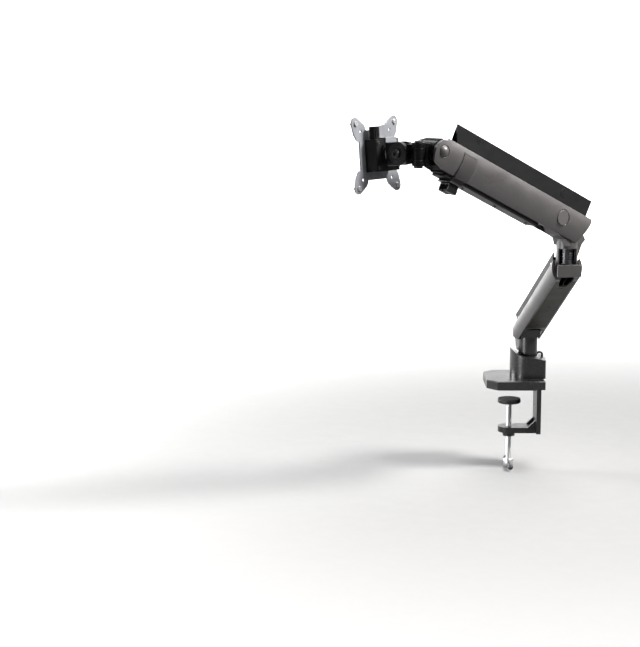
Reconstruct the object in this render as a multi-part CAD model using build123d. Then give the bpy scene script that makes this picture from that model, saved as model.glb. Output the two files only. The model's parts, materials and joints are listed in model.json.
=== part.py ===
from build123d import *
import os
from math import atan2, cos, radians, sin

# Monitor arm: desk clamp, two parallelogram sections and a tilting VESA head.
# All lengths in millimetres. Origin: post axis at the desk surface. +X runs from the user's side to
# the desk's rear edge, +Y along the desk edge, +Z up. The parts are drawn in the arm's rest pose.

# ---- driving dimensions -----------------------------------------------------------------
DESK_THICKNESS = 25.0
DESK_EDGE_X = 10.0

FOOT_X0 = -77.0
FOOT_X1 = 27.0
FOOT_HALF = 57.5
FOOT_TOP = 17.0
PAD_THICK = 1.5

BLOCK_R = 32.0
BLOCK_X1 = 30.0
POST_R = 11.0
POST_TOP = 76.0
TURRET_R = 17.0
TURRET_Z0 = 59.5

SPINE_X0 = 15.0
SPINE_X1 = 23.0
SPINE_HALF = 29.0
CLAMP_Z = -76.0
CLAMP_T = 10.0
SCREW_X = -32.0
SCREW_R = 5.0
SCREW_LEAD = 2.0

# lower section: heading about Z, pitch above horizontal, pivot pair in the section's own plane
LOW_HEADING = -81.4
LOW_PITCH = 31.0
LOW_X = 12.0
LOW_Z = 109.0
LOW_LENGTH = 240.0
LOW_LINK = 18.0
LOW_LEAN = 26.0
ELBOW_REACH = 235.0

# upper section
UP_HEADING = -142.0
UP_PITCH = 24.5
UP_X = 37.5
UP_Z = 334.0
UP_LENGTH = 288.0
UP_LINK = 13.0
UP_LEAN = 8.0

# head: swivel axis ahead of the last pivot, then tilt axis, then the VESA plate
SWIVEL_AHEAD = 30.0
HEAD_Z = 448.5
HEAD_HEADING = 141.5
TILT_AHEAD = 31.0
TILT_REST = 4.5
PLATE_AHEAD = 49.5
PLATE_T = 2.5

PIN_R = 3.6
LINK_PIN_R = 2.5
RUN = 0.05

# ---- frames -----------------------------------------------------------------------------
LOW_FRAME = Location((0, 0, 0), (0, 0, LOW_HEADING))
ELBOW_X = ELBOW_REACH * cos(radians(LOW_HEADING))
ELBOW_Y = ELBOW_REACH * sin(radians(LOW_HEADING))
LOW_ARM = LOW_FRAME * Location((LOW_X, 0, LOW_Z), (0, -LOW_PITCH, 0))
LOW_TIP_X = LOW_X + LOW_LENGTH * cos(radians(LOW_PITCH))
LOW_TIP_Z = LOW_Z + LOW_LENGTH * sin(radians(LOW_PITCH))

UP_FRAME = Location((ELBOW_X, ELBOW_Y, 0), (0, 0, UP_HEADING))
UP_ARM = UP_FRAME * Location((UP_X, 0, UP_Z), (0, -UP_PITCH, 0))
UP_TIP_X = UP_X + UP_LENGTH * cos(radians(UP_PITCH))
UP_TIP_Z = UP_Z + UP_LENGTH * sin(radians(UP_PITCH))

SWIVEL_X = ELBOW_X + (UP_TIP_X + SWIVEL_AHEAD) * cos(radians(UP_HEADING))
SWIVEL_Y = ELBOW_Y + (UP_TIP_X + SWIVEL_AHEAD) * sin(radians(UP_HEADING))
HEAD_FRAME = Location((SWIVEL_X, SWIVEL_Y, HEAD_Z), (0, 0, HEAD_HEADING))
TILT_FRAME = HEAD_FRAME * Location((TILT_AHEAD, 0, 0), (0, TILT_REST, 0))


# ---- small builders ---------------------------------------------------------------------
def box(x0, x1, y0, y1, z0, z1):
    """Axis-aligned block between two corners."""
    size = (x1 - x0, y1 - y0, z1 - z0)
    return Pos((x0 + x1) / 2, (y0 + y1) / 2, (z0 + z1) / 2) * Box(*size)


def zcyl(r, z0, z1, x=0.0, y=0.0):
    """Upright cylinder."""
    return Pos(x, y, (z0 + z1) / 2) * Cylinder(r, z1 - z0)


def ycyl(r, y0, y1, x=0.0, z=0.0):
    """Cylinder across the arm."""
    return Pos(x, (y0 + y1) / 2, z) * Rot(90, 0, 0) * Cylinder(r, y1 - y0)


def xcyl(r, x0, x1, y=0.0, z=0.0):
    """Cylinder along the arm."""
    return Pos((x0 + x1) / 2, y, z) * Rot(0, 90, 0) * Cylinder(r, x1 - x0)


def side_plate(points, y0, y1):
    """Outline in the x-z plane, given thickness from y0 to y1."""
    outline = make_face(Polyline(*[(x, z) for x, z in points], close=True))
    solid = extrude(Plane.XZ * outline, amount=y1 - y0, dir=(0, 1, 0))
    return Pos(0, y0, 0) * solid


def stadium(x0, z0, x1, z1, r, y0, y1):
    """Two bosses and the web between them, as one side plate."""
    angle = atan2(z1 - z0, x1 - x0)
    dx, dz = r * sin(angle), r * cos(angle)
    corners = [(x0 - dx, z0 + dz), (x1 - dx, z1 + dz), (x1 + dx, z1 - dz), (x0 + dx, z0 - dz)]
    web = side_plate(corners, y0, y1)
    return web + ycyl(r, y0, y1, x0, z0) + ycyl(r, y0, y1, x1, z1)


def link_offset(length, lean):
    """Where the link pivot sits from the main pivot, in the level frame."""
    return -length * sin(radians(lean)), length * cos(radians(lean))


def turned(dx, dz, pitch):
    """A level-frame offset seen in the arm's own frame."""
    c, s = cos(radians(pitch)), sin(radians(pitch))
    return dx * c + dz * s, -dx * s + dz * c


def one(shape):
    """The single solid of a boolean result."""
    solids = shape.solids()
    return solids[0] if len(solids) == 1 else max(solids, key=lambda s: s.volume)


def put(name, frame, *shapes):
    """Place the shapes in the shared frame and write them as one STEP file."""
    placed = [frame * s for s in shapes]
    solids = [s for p in placed for s in p.solids()]
    export_step(solids[0] if len(solids) == 1 else Compound(children=solids), f"parts/{name}.step")


HERE = Location((0, 0, 0))


# ---- desk clamp -------------------------------------------------------------------------
def foot_outline(inset):
    """Plan of the foot: square at the rear, chamfered corners at the front."""
    x0, x1, y = FOOT_X0 + inset, FOOT_X1 - inset, FOOT_HALF - inset
    points = [(x1, -y), (x1, y), (x0 + 17, y), (x0, y - 20), (x0, -y + 20), (x0 + 17, -y)]
    return make_face(Polyline(*points, close=True))


def foot_pad():
    sheet = extrude(foot_outline(3.0), PAD_THICK)
    return one(sheet & box(-100, DESK_EDGE_X, -80, 80, 0, PAD_THICK))


def foot_plate():
    body = Pos(0, 0, PAD_THICK) * extrude(foot_outline(0.0), FOOT_TOP - PAD_THICK)
    uprights = body.edges().filter_by(Axis.Z)
    body = fillet(uprights, 2.5)
    body = chamfer(body.faces().sort_by(Axis.Z)[-1].edges(), 1.2)
    for y in (-18, 18):
        for x in (-20, 4):
            body -= zcyl(3.1, 0, FOOT_TOP + 1, x, y)
            body -= zcyl(5.6, 0, 7.0, x, y)
        spine_x = (SPINE_X0 + SPINE_X1) / 2
        body -= zcyl(3.02, 0, 9.0, spine_x, y) + zcyl(5.4, 8.0, 20.0, spine_x, y)
    return one(body)


def block_screws():
    """Four screws up through the foot into the block."""
    screws = []
    for y in (-18, 18):
        for x in (-20, 4):
            screw = zcyl(5.3, 2.4, 6.9, x, y) + zcyl(3.0, 6.9, 30.0, x, y)
            screw -= Pos(x, y, 2.4) * extrude(RegularPolygon(2.9, 6), 2.6)
            screws.append(one(screw))
    return screws


def base_block():
    body = zcyl(BLOCK_R, FOOT_TOP, 75.0) + box(0, BLOCK_X1, -BLOCK_R, BLOCK_R, FOOT_TOP, 75.0)
    rear = body.edges().filter_by(Axis.Z).sort_by(Axis.X)[-2:]
    body = fillet(rear, 4.0)
    scoop = [(-40, 74), (-32, 70), (-23, 62), (-15, 58.0), (-6, 56.0), (8, 55.0), (40, 48.0), (40, 90), (-40, 90)]
    body -= side_plate(scoop, -40, 40)
    body -= zcyl(POST_R + 0.02, FOOT_TOP - 1, 90)
    body -= zcyl(TURRET_R + 1.5, 54.5, 90)
    for y in (-18, 18):
        for x in (-20, 4):
            body -= zcyl(3.02, FOOT_TOP - 1, 30.5, x, y)
    body -= zcyl(1.92, 48.5, 60.0, HOOK_X + 4.75, HOOK_Y)
    return one(body)


def post_pin():
    body = zcyl(POST_R, FOOT_TOP, POST_TOP)
    body = chamfer(body.faces().sort_by(Axis.Z)[-1].edges(), 1.0)
    return one(body)


def post_washer():
    """Low-friction ring that carries the turret."""
    return one(zcyl(TURRET_R, 54.5, TURRET_Z0 - 0.05) - zcyl(POST_R + 0.05, 50, 65))


def hook_bar(x, y, z, major, bar):
    """Small curved cable hook: a peg in the seat and an open arc above it."""
    arc = Pos(x, y, z + major * 0.5) * Rot(90, 0, 0) * Torus(major, bar)
    arc -= box(x - 20, x, y - 5, y + 5, z - 20, z + major * 0.9)
    arc -= box(x - 20, x + 20, y - 5, y + 5, z - 20, z + 0.2)
    peg_x = x + major * 0.95
    return one(arc + zcyl(bar, z - 3.0, z + major * 0.5, peg_x, y))


HOOK_X = 22.5
HOOK_Y = 9.0


def block_hook():
    return hook_bar(HOOK_X, HOOK_Y, 51.6, 5.0, 1.9)


def clamp_bracket():
    """Cast L hanging behind the desk edge, with a boss for the clamp screw."""
    spine = box(SPINE_X0, SPINE_X1, -SPINE_HALF, SPINE_HALF, CLAMP_Z - CLAMP_T, PAD_THICK)
    arm = box(SCREW_X - 16, SPINE_X1, -20, 20, CLAMP_Z - CLAMP_T, CLAMP_Z)
    arm -= box(SCREW_X - 17, SCREW_X, -21, 21, CLAMP_Z - 20, CLAMP_Z + 5)
    body = spine + arm + zcyl(20.0, CLAMP_Z - CLAMP_T, CLAMP_Z, SCREW_X)
    body += zcyl(11.0, CLAMP_Z - CLAMP_T - 8, CLAMP_Z, SCREW_X)
    for y in (-16, 16):
        gusset = [(SPINE_X0, CLAMP_Z), (SPINE_X0, CLAMP_Z + 14), (SPINE_X0 - 14, CLAMP_Z)]
        body += side_plate(gusset, y - 3, y + 3)
    body -= zcyl(SCREW_R + 0.08, CLAMP_Z - 30, CLAMP_Z + 10, SCREW_X)
    for y in (-18, 18):
        body -= zcyl(3.02, PAD_THICK - 14, PAD_THICK + 1, (SPINE_X0 + SPINE_X1) / 2, y)
    return one(body)


def clamp_bracket_screws():
    """Two screws down through the foot into the spine."""
    x = (SPINE_X0 + SPINE_X1) / 2
    return [one(zcyl(3.0, PAD_THICK - 12, 8.0, x, y) + zcyl(5.3, 8.0, 12.0, x, y)) for y in (-18, 18)]


PAD_TOP = -DESK_THICKNESS
PAD_Z0 = PAD_TOP - 8.0


def pressure_pad():
    body = zcyl(21.0, PAD_Z0, PAD_TOP - 2.0, SCREW_X)
    body = chamfer(body.faces().sort_by(Axis.Z)[0].edges(), 1.5)
    body -= zcyl(4.06, PAD_Z0 - 1, PAD_Z0 + 4.0, SCREW_X)
    return one(body)


def pad_rubber():
    return one(zcyl(20.0, PAD_TOP - 2.0, PAD_TOP, SCREW_X))


def clamp_spindle():
    z1 = PAD_Z0 + 3.9
    body = zcyl(4.0, PAD_Z0 - 2, z1, SCREW_X)
    body += zcyl(SCREW_R, CLAMP_Z - 62, PAD_Z0 - 1.0, SCREW_X)
    body += zcyl(9.0, CLAMP_Z - 76, CLAMP_Z - 62, SCREW_X)
    body = chamfer(body.faces().sort_by(Axis.Z)[0].edges(), 1.5)
    body -= Pos(0, 0, 0) * ycyl(3.02, -20, 20, SCREW_X, CLAMP_Z - 69)
    return one(body)


def clamp_handle():
    """Sliding bar with two ball ends."""
    z = CLAMP_Z - 69
    body = ycyl(3.0, -38, 38, SCREW_X, z)
    for y in (-38, 38):
        body += Pos(SCREW_X, y, z) * Sphere(5.0)
    return one(body)


# ---- pivot positions in each section's own plane ------------------------------------------
LOW_DX, LOW_DZ = link_offset(LOW_LINK, LOW_LEAN)
UP_DX, UP_DZ = link_offset(UP_LINK, UP_LEAN)
LOW_U, LOW_W = turned(LOW_DX, LOW_DZ, LOW_PITCH)
UP_U, UP_W = turned(UP_DX, UP_DZ, UP_PITCH)
LOW_LUG = 17.0
UP_LUG = 16.0
LOW_WALL = 20.5
UP_WALL = 21.5
LOW_PIN_END = 23.2
UP_PIN_END = 23.6


def level_to_arm(points, x, z, pitch):
    """Level-plane points of the rest pose written in the arm's own frame."""
    return [turned(px - x, pz - z, pitch) for px, pz in points]


def cross_pin(r, half):
    body = ycyl(r, -half, half)
    return chamfer(body.edges().filter_by(GeomType.CIRCLE), 0.4)


def ring(r, bore, y0, y1):
    return one(ycyl(r, y0, y1) - ycyl(bore, y0 - 1, y1 + 1))


def ring_pair(r, bore, y0, y1, spots):
    """One ring on each side of the middle plane at every spot."""
    rings = []
    for x, z in spots:
        rings.append(Pos(x, 0, z) * ring(r, bore, y0, y1))
        rings.append(Pos(x, 0, z) * ring(r, bore, -y1, -y0))
    return rings


# ---- base turret ------------------------------------------------------------------------
def turret():
    """Turning post that carries the lower section's two pivots."""
    lug = LOW_LUG
    body = zcyl(TURRET_R, TURRET_Z0, 100.0)
    heel = [(0, 64), (-15, 64), (-21, 70), (-26, 82), (-26, 104), (-17, 112), (0, 112)]
    body += side_plate(heel, -lug, lug)
    neck = [(-17, 95), (17, 90), (22.5, 104), (20, 117), (11, 130), (-4, 128), (-17, 112)]
    body += side_plate(neck, -lug, lug) & ycyl(26, -lug, lug, 2, 106)
    body = stadium(LOW_X, LOW_Z, LOW_X + LOW_DX, LOW_Z + LOW_DZ, 8.6, -lug, lug) + body
    body -= box(-40, 40, -6.2, 6.2, LOW_Z + 5.0, 160)
    body -= zcyl(13.5, TURRET_Z0 - 1, 78.0)
    body -= ycyl(PIN_R, -40, 40, LOW_X, LOW_Z)
    body -= ycyl(LINK_PIN_R, -40, 40, LOW_X + LOW_DX, LOW_Z + LOW_DZ)
    return one(body)


def turret_bush():
    return one(zcyl(13.48, TURRET_Z0 + 0.5, 76.5) - zcyl(POST_R + RUN, 50, 90))


# ---- lower section ----------------------------------------------------------------------
LOW_FLOOR_W = -17.1
LOW_TOP_W = 14.1


def channel_outline(flat, floor, bulge, bulge_w, lip, top):
    """Outer section of a casing: flat underside, half-round sides, open top."""
    right = ThreePointArc((flat, floor), (bulge, bulge_w), (lip, top))
    left = ThreePointArc((-lip, top), (-bulge, bulge_w), (-flat, floor))
    base = Line((-flat, floor), (flat, floor))
    lid = Line((lip, top), (-lip, top))
    return make_face([base, right, lid, left])


def along(face, u0, u1):
    """Sweep a (y, w) section along the arm from u0 to u1."""
    return Pos(u0, 0, 0) * extrude(Plane.YZ * face, amount=u1 - u0)


def lower_casing():
    x, z, p = LOW_X, LOW_Z, LOW_PITCH
    outer = channel_outline(20.0, LOW_FLOOR_W, 26.2, -1.0, 22.6, LOW_TOP_W)
    body = along(outer, -45, LOW_LENGTH + 60)
    hollow = [(-17.8, -14.6), (17.8, -14.6), (LOW_WALL, -8), (LOW_WALL, 40), (-LOW_WALL, 40), (-LOW_WALL, -8)]
    body -= along(make_face(Polyline(*hollow, close=True)), -50, LOW_LENGTH + 70)
    side = [(-9, 89), (-3, 86), (7, 85.2), (30, 80), (238, 200), (241, 231), (236, 262), (236, 300), (-13, 300), (-13, 121)]
    body &= side_plate(level_to_arm(side, x, z, p), -40, 40)
    body -= box(-60, 16, -17.8, 17.8, -30, 0)
    body -= zcyl(18.5, -30, 0, 16)
    body -= box(LOW_LENGTH + 14, LOW_LENGTH + 60, -11, 11, -30, 0)
    body -= box(LOW_LENGTH + 22, LOW_LENGTH + 60, -19, 19, -30, 0)
    body -= box(37, LOW_LENGTH + 8, -17.2, 17.2, LOW_FLOOR_W - 1, LOW_FLOOR_W + 1.0)
    body -= lower_slot()
    body += box(60, 74, -10, 10, -14.9, LOW_W + 0.8)
    body += box(172, 190, -12, 12, -14.9, LOW_W + 2.0)
    body -= xcyl(7.52, 50, 200, 0, LOW_ROD_W)
    for u in (0, LOW_LENGTH):
        body -= ycyl(PIN_R + RUN, -LOW_PIN_END - 0.4, LOW_PIN_END + 0.4, u, 0)
    return one(body)


def lower_slot():
    """Tapered opening in the underside below the elbow."""
    u0, u1 = LOW_LENGTH - 14, LOW_LENGTH + 16
    outline = make_face(Polyline((u0, -7), (u1, -12.5), (u1, 12.5), (u0, 7), close=True))
    return Pos(0, 0, LOW_FLOOR_W - 1) * extrude(outline, 8.0)


def lower_underside_cover():
    """Thin plate let into the flat underside."""
    body = box(37.2, LOW_LENGTH + 7.8, -17.0, 17.0, LOW_FLOOR_W, LOW_FLOOR_W + 1.0)
    body = fillet(body.edges().filter_by(Axis.Z), 2.0)
    return one(body - lower_slot())


def top_link(outline, inner, outer, web_z, wall):
    """Inverted channel: two cheeks with the given outline joined by a web."""
    solid = side_plate(outline, -outer, outer)
    inside = side_plate(outline, -inner, inner) & box(-200, 600, -inner, inner, -200, web_z - wall)
    return solid - inside


def lower_top_link():
    w0 = LOW_W - 4.5
    top = LOW_W + 11.7
    x, z, p = LOW_X, LOW_Z, LOW_PITCH
    rear = level_to_arm([(-13.6, 127.6), (-1.6, 120.0)], x, z, p)
    front = level_to_arm([(221.6, 269.2), (221.6, 252)], x, z, p)
    tip = LOW_LENGTH + LOW_U
    outline = [rear[1], rear[0], (rear[0][0] + 1, top), (front[0][0], top), (front[1][0], front[1][1])]
    outline += [(tip + 7, LOW_W - 2), (tip + 4, w0), (LOW_U - 4, w0)]
    body = top_link(outline, 17.6, 20.0, top, 2.5)
    body -= box(tip + 3.5, 600, -17.6, 17.6, -60, 60)
    for u in (LOW_U, tip):
        body -= ycyl(LINK_PIN_R + RUN, -30, 30, u, LOW_W)
    return one(body)


# ---- pull rods of the two spring cartridges ------------------------------------------------
LOW_ROD_W = 16.8
UP_ROD_W = 11.7


def cartridge(u0, u1, r, w, rod_r):
    """Spring tube: closed far end, guide for the pull rod at the near end."""
    body = xcyl(r, u0, u1, 0, w) - xcyl(r - 1.5, u0 + 6, u1 - 4, 0, w)
    body -= xcyl(rod_r + 0.06, u0 - 1, u0 + 7, 0, w)
    return one(body)


def pull_rod(eye_u, w, tip_u, rod_r, piston_r, slot_u, slot_w, wall):
    """Rod with a slotted eye round the link pin and a piston inside the tube."""
    eye = box(eye_u - slot_u - wall, eye_u + slot_u + wall, -5.5, 5.5, w - slot_w - wall, w + slot_w + wall)
    eye = fillet(eye.edges().filter_by(Axis.Y), 2.0)
    body = eye + xcyl(rod_r, eye_u + slot_u + 0.6, tip_u, 0, w)
    body += xcyl(piston_r, tip_u - 8, tip_u, 0, w)
    body -= box(eye_u - slot_u, eye_u + slot_u, -7, 7, w - slot_w, w + slot_w)
    return one(body)


def lower_spring_tube():
    return cartridge(62, 190, 7.5, LOW_ROD_W, 3.0)


def lower_pull_rod():
    return pull_rod(LOW_U, LOW_ROD_W, 110, 3.0, 5.95, 3.2, 4.2, 2.6)


def upper_spring_tube():
    return cartridge(66, 226, 10.0, UP_ROD_W, 3.0)


def upper_pull_rod():
    return pull_rod(UP_U, UP_ROD_W, 130, 3.0, 8.45, 3.3, 4.1, 1.6)


# ---- elbow bracket ----------------------------------------------------------------------
ELBOW_TOP = 252.0
ELBOW_Z0 = 232.0


def elbow_bracket():
    """Level carrier at the top of the lower section."""
    lug = LOW_LUG
    mx, mz = LOW_TIP_X, LOW_TIP_Z
    x1 = ELBOW_REACH + 17
    body = stadium(mx, mz, mx + LOW_DX, mz + LOW_DZ, 6.6, -lug, lug)
    body += box(mx - 8, x1, -lug, lug, 243.5, ELBOW_TOP)
    body += side_plate([(mx - 8, mz + 2), (mx + 8, mz), (mx + 14, 244), (mx - 8, 250)], -lug, lug)
    lip = box(x1 - 1.7, x1 + 2.5, -20.5, 20.5, ELBOW_Z0, ELBOW_TOP)
    body += fillet(lip.edges().filter_by(Axis.X), 2.0)
    body -= zcyl(6.0, 240, 260, ELBOW_REACH)
    body -= zcyl(1.02, 248.9, 260, ELBOW_REACH + 13.0 + 2.47, 16.2)
    body -= ycyl(PIN_R, -40, 40, mx, mz)
    body -= ycyl(LINK_PIN_R, -40, 40, mx + LOW_DX, mz + LOW_DZ)
    return one(body)


def elbow_post():
    """Upright stud the upper section turns on."""
    x = ELBOW_REACH
    body = zcyl(11.5, ELBOW_TOP, 292.0, x) + zcyl(5.98, 243.6, ELBOW_TOP, x)
    for i in range(6):
        z = 255.4 + 4.0 * i
        body -= zcyl(12.0, z, z + 1.8, x) - zcyl(9.8, z, z + 1.8, x)
    body = chamfer(body.faces().sort_by(Axis.Z)[-1].edges(), 1.0)
    return one(body)


def elbow_washer():
    return one(zcyl(16.5, ELBOW_TOP, ELBOW_TOP + 0.9, ELBOW_REACH) - zcyl(11.55, 250, 256, ELBOW_REACH))


def elbow_hook():
    return hook_bar(ELBOW_REACH + 13.0, 16.2, ELBOW_TOP, 2.6, 1.0)


# ---- upper turret -----------------------------------------------------------------------
SHELL_R = 18.0
SHELL_Z0 = 253.0
WINDOW_TOP = 279.0
WINDOW_TURN = 52.0


def upper_turret():
    """Hollow turning shell with a window, rising into the upper section's pivot lug."""
    lug = UP_LUG
    body = zcyl(SHELL_R, SHELL_Z0, 300.0)
    cone = Pos(0, 0, 279.5) * Cone(SHELL_R, 28.0, 29.0)
    body += cone & box(-40, 0, -15, 15, 265, 294)
    neck = [(-27, 292), (-18, 284), (15, 284), (18.5, 296), (34, 304), (46, 322), (48, 334), (41, 345), (29, 343), (-2, 312), (-20, 304)]
    body += side_plate(neck, -lug, lug)
    body += stadium(UP_X, UP_Z, UP_X + UP_DX, UP_Z + UP_DZ, 9.0, -lug, lug)
    body += ycyl(4.6, -18.8, 18.8, UP_X + UP_DX, UP_Z + UP_DZ)
    body -= box(-60, 90, -6.2, 6.2, UP_Z + 4.6, 400)
    body -= zcyl(13.0, SHELL_Z0 - 1, 294.0)
    body -= Rot(0, 0, WINDOW_TURN) * box(5, 40, -15.0, 15.0, SHELL_Z0 - 1, WINDOW_TOP)
    body -= ycyl(PIN_R, -40, 40, UP_X, UP_Z)
    body -= ycyl(LINK_PIN_R, -40, 40, UP_X + UP_DX, UP_Z + UP_DZ)
    return one(body)


def upper_bush():
    """Upper bearing sleeve round the elbow post, above the window."""
    return one(zcyl(12.98, 280.0, 293.5) - zcyl(11.5 + RUN, 270, 300))


# ---- upper section ----------------------------------------------------------------------
UP_FLOOR_W = -25.5
UP_TOP_W = 22.0
UP_FLOOR_U = 16.0
CAP_R = 13.0
DOME_R = 9.0
CLIP_U0 = 220.0
CLIP_U1 = 246.0
COVER_DEPTH = 5.5


def upper_outer(grow):
    return channel_outline(18.6 + grow, UP_FLOOR_W - grow, 26.8 + grow, -3.0, 23.4 + grow, UP_TOP_W)


def upper_profile():
    """Side view of the upper casing: slanted tail, rounded head."""
    length = UP_LENGTH
    tail = [(-68, UP_TOP_W + 10), (-67, 15), (-58, -8), (-50, -40)]
    plate = side_plate(tail + [(length - 3, -40), (length - 3, UP_TOP_W + 10)], -50, 50)
    belly = [(length - 60, 40), (length - 3, 40), (length - 3, -21.8), (length - 45, -40), (length - 60, -40)]
    taper = side_plate(belly, -50, 50)
    nose = ycyl(20.0, -50, 50, length - 3, -1.8) + taper
    return (plate & box(-90, length - 50, -50, 50, -60, 60)) + nose


def upper_casing():
    length = UP_LENGTH
    body = along(upper_outer(0.0), -80, length + 40)
    hollow = [(-16.5, -22.5), (16.5, -22.5), (UP_WALL, -12), (UP_WALL, 40), (-UP_WALL, 40), (-UP_WALL, -12)]
    body -= along(make_face(Polyline(*hollow, close=True)), -90, length + 60)
    body &= upper_profile()
    body -= box(-90, UP_FLOOR_U, -18.8, 18.8, -40, 0)
    body -= zcyl(18.8, -40, 0, UP_FLOOR_U)
    body -= box(length - 26, length + 60, -17.5, 17.5, -40, 0)
    body += box(66, 82, -12, 12, -22.8, UP_ROD_W - 3)
    body += box(206, 226, -14, 14, -22.8, UP_ROD_W)
    body -= xcyl(10.1, 60, 240, 0, UP_ROD_W)
    for u in (0, length):
        body -= ycyl(PIN_R + RUN, -UP_PIN_END - 0.3, UP_PIN_END + 0.3, u, 0)
    body -= ycyl(CAP_R + 1.0, 25.0, 40, 0, 0) + ycyl(CAP_R + 1.0, -40, -25.0, 0, 0)
    body -= ycyl(DOME_R + 1.0, 25.0, 40, length, 0) + ycyl(DOME_R + 1.0, -40, -25.0, length, 0)
    return one(body)


def disc_caps():
    """Flat round covers over the turret-end pivot, one each side."""
    cap = ycyl(CAP_R - 0.35, 25.0, 27.2)
    cap = chamfer(cap.faces().sort_by(Axis.Y)[-1].edges(), 0.6)
    return [cap, mirror(cap, Plane.XZ)]


def dome_caps():
    """Domed covers over the head-end pivot, one each side."""
    dome = Pos(0, 20.9, 0) * Sphere(10.6)
    dome = one(dome & ycyl(DOME_R, 26.5, 40)) + ycyl(DOME_R, 25.0, 26.6)
    dome = Pos(UP_LENGTH, 0, 0) * dome
    return [one(dome), one(mirror(dome, Plane.XZ))]


def cable_cover():
    """Shallow tray clipped under the casing, open along its middle for the cables."""
    u0, u1 = 38.0, CLIP_U0 - 1.0
    tray = box(u0, u1, -15, 15, UP_FLOOR_W - COVER_DEPTH, UP_FLOOR_W)
    tray = chamfer(tray.faces().sort_by(Axis.Z)[0].edges().filter_by(Axis.X), 2.0)
    tray -= box(u0 + 2.5, u1 - 2.5, -12.5, 12.5, UP_FLOOR_W - COVER_DEPTH + 1.6, UP_FLOOR_W + 1)
    tray -= box(u0 - 1, u1 + 1, 14.3, 16, UP_FLOOR_W - 2.6, UP_FLOOR_W - 1.6)
    tray -= box(u0 - 1, u1 + 1, -16, -14.3, UP_FLOOR_W - 2.6, UP_FLOOR_W - 1.6)
    return one(tray)


def cable_clip():
    """Saddle round the casing's belly with a cable gate underneath."""
    outer = along(upper_outer(1.6), CLIP_U0, CLIP_U1)
    body = outer - along(upper_outer(0.02), CLIP_U0 - 1, CLIP_U1 + 1)
    body -= box(CLIP_U0 - 1, CLIP_U1 + 1, -50, 50, 12.0, 60)
    body += box(CLIP_U0, CLIP_U1, -15, 15, UP_FLOOR_W - 10.0, UP_FLOOR_W - 1.0)
    body -= box(CLIP_U0 - 1, CLIP_U1 + 1, -12, 12, UP_FLOOR_W - 7.5, UP_FLOOR_W - 2.2)
    return one(body)


def cable_gate():
    """Black loop under the clip that leads the cables to the head."""
    z1 = UP_FLOOR_W - 10.0
    u0, u1 = CLIP_U0 + 3.0, CLIP_U0 + 23.0
    body = box(u0, u1, -11, 11, z1 - 14, z1)
    body = chamfer(body.edges().filter_by(Axis.Y), 1.5)
    body -= box(u0 - 1, u1 + 1, -8.5, 8.5, z1 - 11.5, z1 - 3.0)
    body -= box(u0 - 1, u1 + 1, -2.0, 2.0, z1 - 15, z1 - 9)
    return one(body)


def head_end_cover():
    """Black stepped cover under the head end of the casing."""
    u0, u1 = CLIP_U1 + 1.0, UP_LENGTH - 27.0
    body = box(u0, u1, -15.5, 15.5, UP_FLOOR_W - 6, UP_FLOOR_W)
    body += box(u0, u1 + 8, -13, 13, UP_FLOOR_W - 3.0, UP_FLOOR_W - 0.2)
    body -= box(u0 + 3, u1 - 3, -12, 12, UP_FLOOR_W - 4, UP_FLOOR_W + 1)
    return one(body)


LINK_PLUGS = ((11.5, 38.5, 6.6), (222.0, 43.0, 3.6))


def upper_top_link():
    w0 = UP_W - 4.5
    top = 50.0
    tip = UP_LENGTH + UP_U
    outline = [(-53, w0), (-56, top), (276.5, top), (261, 19.5), (tip + 3, 17.0), (tip + 5.5, UP_W), (tip + 3, w0)]
    body = top_link(outline, 18.9, 21.1, top, 2.5)
    body -= box(262, 600, -18.9, 18.9, -60, 60)
    rake = make_face(Polyline((277, 21.5), (241, -21.5), (241, -40), (320, -40), (320, 21.5), close=True))
    body -= Pos(0, 0, 20.5) * extrude(rake, 60)
    for u in (UP_U, tip):
        body -= ycyl(LINK_PIN_R + RUN, -30, 30, u, UP_W)
    for u, w, r in LINK_PLUGS:
        body -= ycyl(r + 0.02, -30, 30, u, w)
    return one(body)


def link_plugs():
    """Push-in plugs that close the access holes of the top link."""
    plugs = []
    for u, w, r in LINK_PLUGS:
        plug = ycyl(r, 18.9, 21.1, u, w) + ycyl(r + 0.8, 21.1, 21.38, u, w)
        plugs.append(one(plug))
        plugs.append(one(mirror(plug, Plane.XZ)))
    return plugs


# ---- head bracket and swivel --------------------------------------------------------------
SWIVEL_R = 10.0
SWIVEL_PIN_R = 4.0
FORK_TOP = 18.0
KNUCKLE = 9.5


def head_bracket():
    """Level bracket at the end of the upper section: pivot lug and swivel fork."""
    lug = UP_LUG
    mx, mz = UP_TIP_X, UP_TIP_Z
    sx = mx + SWIVEL_AHEAD
    z0, z1 = HEAD_Z - FORK_TOP, HEAD_Z + FORK_TOP
    body = ycyl(16.0, -lug, lug, mx, mz) + ycyl(6.4, -lug, lug, mx + UP_DX, mz + UP_DZ)
    body += ycyl(4.6, -18.8, 18.8, mx + UP_DX, mz + UP_DZ)
    body += box(mx, sx, -6.0, 6.0, z0, z1)
    body += zcyl(8.4, z0 + 1.5, z1 - 1.5, sx - 15.0)
    body += zcyl(SWIVEL_R, z0, z1, sx)
    body -= zcyl(SWIVEL_R + 1.0, HEAD_Z - KNUCKLE, HEAD_Z + KNUCKLE, sx)
    body -= box(sx - 2, sx + 20, -20, 20, HEAD_Z - KNUCKLE, HEAD_Z + KNUCKLE)
    body -= zcyl(SWIVEL_PIN_R + 0.02, z0 - 1, z1 + 1, sx)
    body -= ycyl(PIN_R, -40, 40, mx, mz)
    body -= ycyl(LINK_PIN_R, -40, 40, mx + UP_DX, mz + UP_DZ)
    return one(body)


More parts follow.
